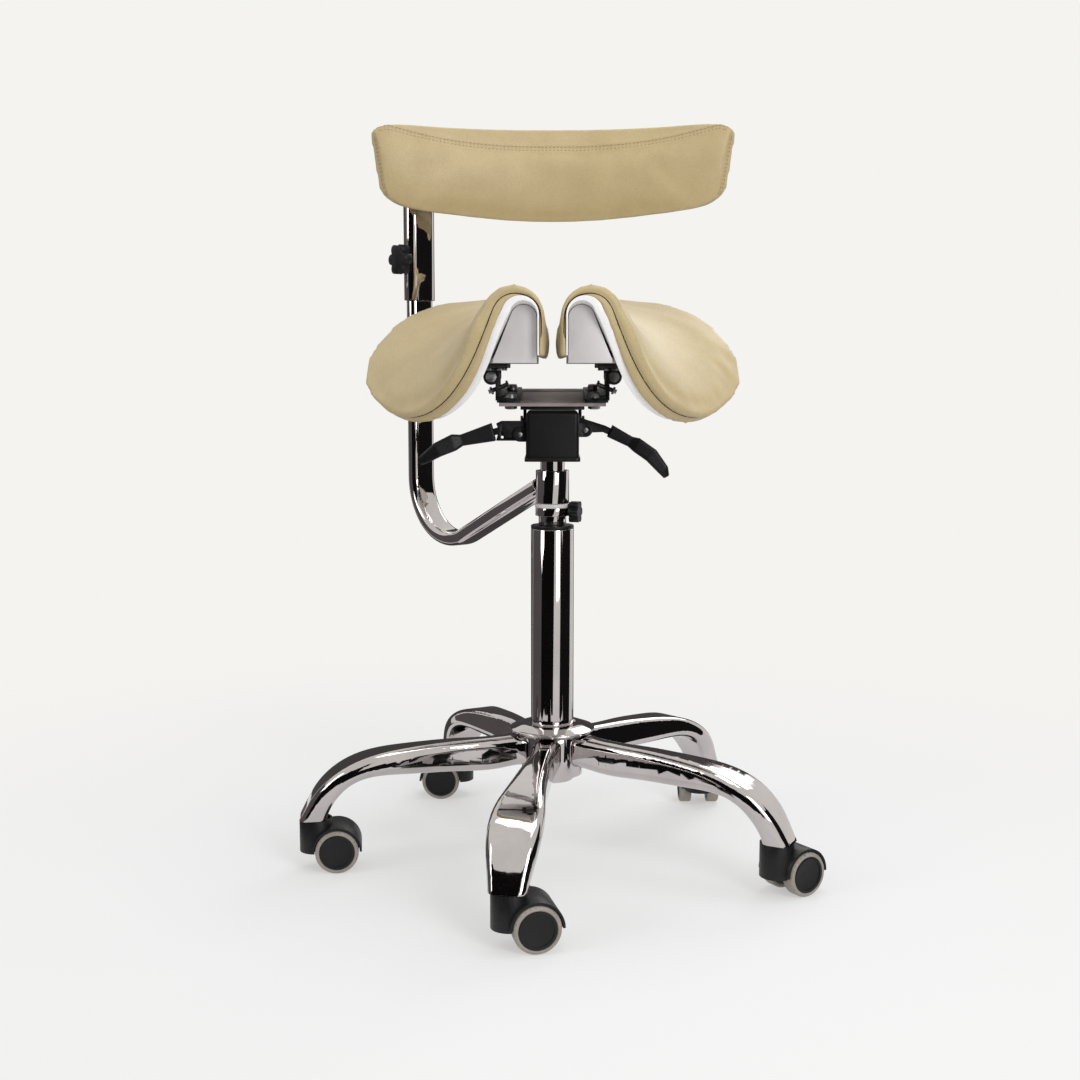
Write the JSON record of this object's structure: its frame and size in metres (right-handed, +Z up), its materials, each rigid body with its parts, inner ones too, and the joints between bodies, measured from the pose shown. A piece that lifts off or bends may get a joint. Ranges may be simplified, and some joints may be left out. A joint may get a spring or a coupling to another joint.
{
  "type": "saddle stool with backrest",
  "caption": "Height-adjustable working stool with a split saddle seat, a curved backrest on a swinging arm, levers under the seat and a chromed base on casters.",
  "frame": {"origin": "on the floor under the column's axis", "axes": "+Z up along the column, -Y the way the sitter faces, +X to the side of the height lever"},
  "size_m": [0.5999, 0.5731, 0.8767],
  "materials": {
    "chrome": "polished",
    "steel": "satin",
    "black_metal": "satin",
    "black_plastic": "satin",
    "grey_plastic": "satin",
    "white_plastic": "gloss",
    "upholstery": "fine grain",
    "tyre": "matte"
  },
  "bodies": {
    "base": {"base_hub": "chrome", "base_arms": "chrome", "hub_ring": "chrome", "caster_sockets": "black_plastic", "caster_stems": "steel", "column_tube": "chrome", "column_bush": "black_plastic"},
    "spindle": {"piston_rod": "steel", "thrust_bearing": "steel"},
    "lift": {"gas_cylinder": "chrome", "stop_collar": "chrome", "bearing_ring": "black_plastic", "mechanism_housing": "black_metal", "housing_base": "black_metal", "housing_pins": "steel"},
    "release_pin": {"valve_pin": "steel"},
    "height_handle": {"height_lever": "black_metal", "height_grip": "black_plastic"},
    "tilt_handle": {"tilt_lever": "black_metal", "tilt_grip": "black_plastic"},
    "stop_knob": {"collar_knob": "black_plastic"},
    "seat_frame": {"tilt_carrier": "black_metal", "bridge_plate": "black_metal", "hinge_brackets": "black_metal", "hinge_pins": "steel", "frame_bolts": "steel"},
    "left_half": {"seat_mount_left": "black_metal", "seat_tray_left": "grey_plastic", "seat_shell_left": "white_plastic", "seat_cushion_left": "upholstery", "seat_screws_left": "steel"},
    "right_half": {"seat_mount_right": "black_metal", "seat_tray_right": "grey_plastic", "seat_shell_right": "white_plastic", "seat_cushion_right": "upholstery", "seat_screws_right": "steel"},
    "swing_arm": {"arm_sleeve": "chrome", "back_arm": "chrome"},
    "backrest": {"post_sleeve": "chrome", "post_bush": "black_plastic", "pad_strap": "black_metal", "back_board": "black_plastic", "back_pad": "upholstery", "pad_screws": "steel"},
    "clamp_knob": {"post_knob": "black_plastic"},
    "caster_1_fork": {"caster_1_hood": "black_plastic"},
    "caster_1_pair": {"caster_1_wheels": "black_plastic", "caster_1_tyres": "tyre"},
    "caster_2_fork": {"caster_2_hood": "black_plastic"},
    "caster_2_pair": {"caster_2_wheels": "black_plastic", "caster_2_tyres": "tyre"},
    "caster_3_fork": {"caster_3_hood": "black_plastic"},
    "caster_3_pair": {"caster_3_wheels": "black_plastic", "caster_3_tyres": "tyre"},
    "caster_4_fork": {"caster_4_hood": "black_plastic"},
    "caster_4_pair": {"caster_4_wheels": "black_plastic", "caster_4_tyres": "tyre"},
    "caster_5_fork": {"caster_5_hood": "black_plastic"},
    "caster_5_pair": {"caster_5_wheels": "black_plastic", "caster_5_tyres": "tyre"}
  },
  "joints": [
    {"name": "seat_swivel", "type": "hinge", "parent": "base", "child": "spindle", "pos_m": [0, 0, 0.1], "axis": [0, 0, 1], "continuous": true},
    {"name": "height_lift", "type": "slide", "parent": "spindle", "child": "lift", "axis": [0, 0, 1], "range_m": [0, 0.13]},
    {"name": "height_lever_rock", "type": "hinge", "parent": "lift", "child": "height_handle", "pos_m": [0.038, 0, 0.508], "axis": [0, -1, 0], "range_deg": [0, 5], "stiffness_Nm_per_rad": 2},
    {"name": "release_pin_press", "type": "slide", "parent": "lift", "child": "release_pin", "axis": [0, 0, -1], "range_m": [0, 0.0035], "stiffness_N_per_m": 400},
    {"name": "tilt_lever_rock", "type": "hinge", "parent": "lift", "child": "tilt_handle", "pos_m": [-0.037, -0.0295, 0.504], "axis": [0, 1, 0], "range_deg": [0, 11]},
    {"name": "seat_tilt", "type": "hinge", "parent": "lift", "child": "seat_frame", "pos_m": [0, 0.028, 0.516], "axis": [1, 0, 0], "range_deg": [-12, 0]},
    {"name": "left_half_rock", "type": "hinge", "parent": "seat_frame", "child": "left_half", "pos_m": [-0.069, 0, 0.569], "axis": [0, 1, 0], "range_deg": [-3, 3]},
    {"name": "right_half_rock", "type": "hinge", "parent": "seat_frame", "child": "right_half", "pos_m": [0.069, 0, 0.569], "axis": [0, -1, 0], "range_deg": [-3, 3]},
    {"name": "stop_knob_turn", "type": "hinge", "parent": "lift", "child": "stop_knob", "pos_m": [0, 0, 0.4138], "axis": [0.9659, -0.2588, 0], "continuous": true},
    {"name": "backrest_swing", "type": "hinge", "parent": "lift", "child": "swing_arm", "pos_m": [0, 0, 0.44], "axis": [0, 0, 1], "range_deg": [-70, 130]},
    {"name": "backrest_height", "type": "slide", "parent": "swing_arm", "child": "backrest", "axis": [0, 0, 1], "range_m": [-0.06, 0.03]},
    {"name": "clamp_knob_turn", "type": "hinge", "parent": "backrest", "child": "clamp_knob", "pos_m": [-0.172, 0.216, 0.717], "axis": [-0.7823, -0.6229, 0], "continuous": true},
    {"name": "caster_1_swivel", "type": "hinge", "parent": "base", "child": "caster_1_fork", "pos_m": [-0.04301, -0.27465, 0.06], "axis": [0, 0, 1], "continuous": true},
    {"name": "caster_1_roll", "type": "hinge", "parent": "caster_1_fork", "child": "caster_1_pair", "pos_m": [-0.01972, -0.26885, 0.025], "axis": [-0.2419, 0.9703, 0], "continuous": true},
    {"name": "caster_2_swivel", "type": "hinge", "parent": "base", "child": "caster_2_fork", "pos_m": [0.24792, -0.12578, 0.06], "axis": [0, 0, 1], "continuous": true},
    {"name": "caster_2_roll", "type": "hinge", "parent": "caster_2_fork", "child": "caster_2_pair", "pos_m": [0.26782, -0.11236, 0.025], "axis": [-0.5592, 0.829, 0], "continuous": true},
    {"name": "caster_3_swivel", "type": "hinge", "parent": "base", "child": "caster_3_fork", "pos_m": [0.19623, 0.19692, 0.06], "axis": [0, 0, 1], "continuous": true},
    {"name": "caster_3_roll", "type": "hinge", "parent": "caster_3_fork", "child": "caster_3_pair", "pos_m": [0.19623, 0.22092, 0.025], "axis": [-1, 0, 0], "continuous": true},
    {"name": "caster_4_swivel", "type": "hinge", "parent": "base", "child": "caster_4_fork", "pos_m": [-0.12664, 0.24748, 0.06], "axis": [0, 0, 1], "continuous": true},
    {"name": "caster_4_roll", "type": "hinge", "parent": "caster_4_fork", "child": "caster_4_pair", "pos_m": [-0.15064, 0.24748, 0.025], "axis": [0, -1, 0], "continuous": true},
    {"name": "caster_5_swivel", "type": "hinge", "parent": "base", "child": "caster_5_fork", "pos_m": [-0.2745, -0.04397, 0.06], "axis": [0, 0, 1], "continuous": true},
    {"name": "caster_5_roll", "type": "hinge", "parent": "caster_5_fork", "child": "caster_5_pair", "pos_m": [-0.25071, -0.04084, 0.025], "axis": [-0.1305, 0.9914, 0], "continuous": true}
  ],
  "couplings": [
    {"joint": "release_pin_press", "follows": "height_lever_rock", "m_per_rad": 0.037}
  ]
}
